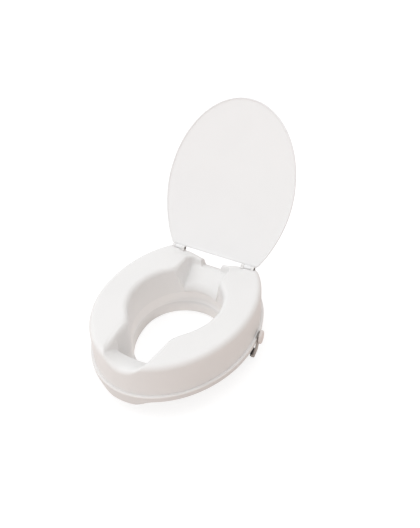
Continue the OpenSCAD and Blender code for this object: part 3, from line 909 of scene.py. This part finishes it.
# name prefixes of the objects that take each material
USES = [
    (("seat_body",), seat_white),
    (("base_body", "pad_seat", "screw_boss", "clamp_housing"), base_white),
    (("lid_panel", "lid_lug", "lid_arm"), lid_white),
    (("clamp_arm", "guide_peg"), bracket_grey),
    (("clamp_knob_body",), knob_white),
    (("hinge_block",), hinge_white),
    (("hinge_bush",), bush_nylon),
    (("hinge_pin",), pin_steel),
    (("grip_pads", "clamp_pad"), pad_rubber),
    (("assembly_screws", "hinge_screws", "clamp_stud", "clamp_nut", "clamp_clip",
      "clamp_washer"), screw_steel),
]
for ob in bpy.data.objects:
    if ob.type != "MESH":
        continue
    material = next((m for prefixes, m in USES if ob.name.startswith(prefixes)), None)
    if material is None and ob.get("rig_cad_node"):
        material = base_white
    if material:
        ob.data.materials.clear()
        ob.data.materials.append(material)


# ------------------------------------------------------------------ stage
def paper_material():
    """Bright paper for the camera, clear from below; other rays meet a warm, dimmer card."""
    material = bpy.data.materials.new("floor_paper")
    material.use_nodes = True
    tree = material.node_tree
    noise = add_node(tree, "TexNoise", {"Scale": 3})
    grey = add_node(tree, "MapRange", {
        "Value": noise.outputs["Fac"], "To Min": 0.29, "To Max": 0.31}).outputs[0]
    color = add_node(tree, "CombineColor", {0: grey, 1: grey, 2: grey})
    paper = tree.nodes["Principled BSDF"]
    set_inputs(paper, {
        "Base Color": color.outputs[0], "Roughness": 0.9,
        "Emission Color": (1, 1, 1, 1), "Emission Strength": 0.76})
    diffuse = add_node(tree, "BsdfDiffuse", {"Color": (0.56, 0.48, 0.44, 1)})
    glow = add_node(tree, "Emission", {"Color": (1.0, 0.99, 0.99, 1), "Strength": 0.2})
    card = add_node(tree, "AddShader", {0: diffuse.outputs[0], 1: glow.outputs[0]})
    rays = add_node(tree, "LightPath")
    by_ray = add_node(tree, "MixShader", {
        0: rays.outputs["Is Camera Ray"], 1: card.outputs[0]})
    geometry = add_node(tree, "NewGeometry")
    clear = add_node(tree, "BsdfTransparent")
    by_side = add_node(tree, "MixShader", {
        0: geometry.outputs["Backfacing"], 1: paper.outputs[0], 2: clear.outputs[0]})
    set_inputs(by_ray, {2: by_side.outputs[0]})
    set_inputs(tree.nodes["Material Output"], {"Surface": by_ray.outputs[0]})
    return material


def build_floor():
    bpy.ops.mesh.primitive_plane_add(size=14, location=(0, 0, -0.0501))
    floor = bpy.context.object
    floor.name = "floor"
    floor.data.materials.append(paper_material())


def build_world():
    """White for the camera; other rays see it fade to a warm tone low on the right."""
    world = bpy.data.worlds.new("studio")
    bpy.context.scene.world = world
    world.use_nodes = True
    tree = world.node_tree
    coords = add_node(tree, "TexCoord")
    toward_warm = add_node(tree, "VectorMath", {
        0: coords.outputs["Generated"], 1: (0.62, -0.22, -1.1)}, operation="DOT_PRODUCT")
    share = add_node(tree, "MapRange", {
        "Value": toward_warm.outputs["Value"], "From Min": -0.75, "From Max": 0.55},
        interpolation_type="SMOOTHSTEP")
    sky = add_mix(tree, share.outputs[0], (1.0, 1.0, 1.0, 1), (0.72, 0.63, 0.58, 1))
    rays = add_node(tree, "LightPath")
    seen = add_mix(tree, rays.outputs["Is Camera Ray"], sky, (1.0, 1.0, 1.0, 1))
    set_inputs(tree.nodes["Background"], {"Color": seen, "Strength": 1.0})


def area_light(name, location, target, size, power, color=(1, 1, 1)):
    """Rectangular light; places and size in metres, power in watts."""
    light = bpy.data.lights.new(name, "AREA")
    light.shape = "RECTANGLE"
    light.size, light.size_y = size
    light.energy = power
    light.color = color
    ob = bpy.data.objects.new(name, light)
    bpy.context.scene.collection.objects.link(ob)
    ob.location = location
    direction = Vector(target) - Vector(location)
    ob.rotation_euler = direction.to_track_quat("-Z", "Y").to_euler()
    return ob


def build_lights():
    area_light("key", location=(-2.4, -1.6, 3.6), target=(0, -0.15, 0.05), size=(2.6, 2.6),
               power=37)
    area_light("top", location=(0.3, 0.9, 3.8), target=(0, -0.15, 0.05), size=(2.5, 2.5),
               power=15)
    area_light("lid", location=(-0.3, -3.2, 1.8), target=(0, 0.2, 0.3), size=(2.0, 1.2),
               power=14, color=(0.93, 0.965, 1.0))
    # a faint glow from the floor, up through the opening
    under = area_light("under", location=(0, -0.142, -0.0495), target=(0, -0.142, 1.0),
                       size=(0.17, 0.2), power=0.055, color=(1.0, 0.985, 0.97))
    under.visible_camera = False


def build_camera():
    azimuth, elevation, roll = (math.radians(d) for d in (30.61034, 37.78552, -2.50119))
    distance = 1.5
    target = Vector((0.09298, -REST_Y * MM, 0.22528))
    back = Vector((math.sin(azimuth) * math.cos(elevation),
                   -math.cos(azimuth) * math.cos(elevation), math.sin(elevation)))
    level = Vector((math.cos(azimuth), math.sin(azimuth), 0))
    upright = back.cross(level)
    right = math.cos(roll) * level + math.sin(roll) * upright
    up = -math.sin(roll) * level + math.cos(roll) * upright
    camera = bpy.data.cameras.new("cam")
    camera.lens, camera.sensor_width, camera.sensor_fit = 48.555, 36, "AUTO"
    camera.clip_end = 50
    ob = bpy.data.objects.new("cam", camera)
    bpy.context.scene.collection.objects.link(ob)
    matrix = Matrix((right, up, back)).transposed().to_4x4()
    matrix.translation = target + back * distance
    ob.matrix_world = matrix
    bpy.context.scene.camera = ob


build_floor()
build_world()
build_lights()
build_camera()
bpy.context.scene.view_settings.view_transform = "Standard"

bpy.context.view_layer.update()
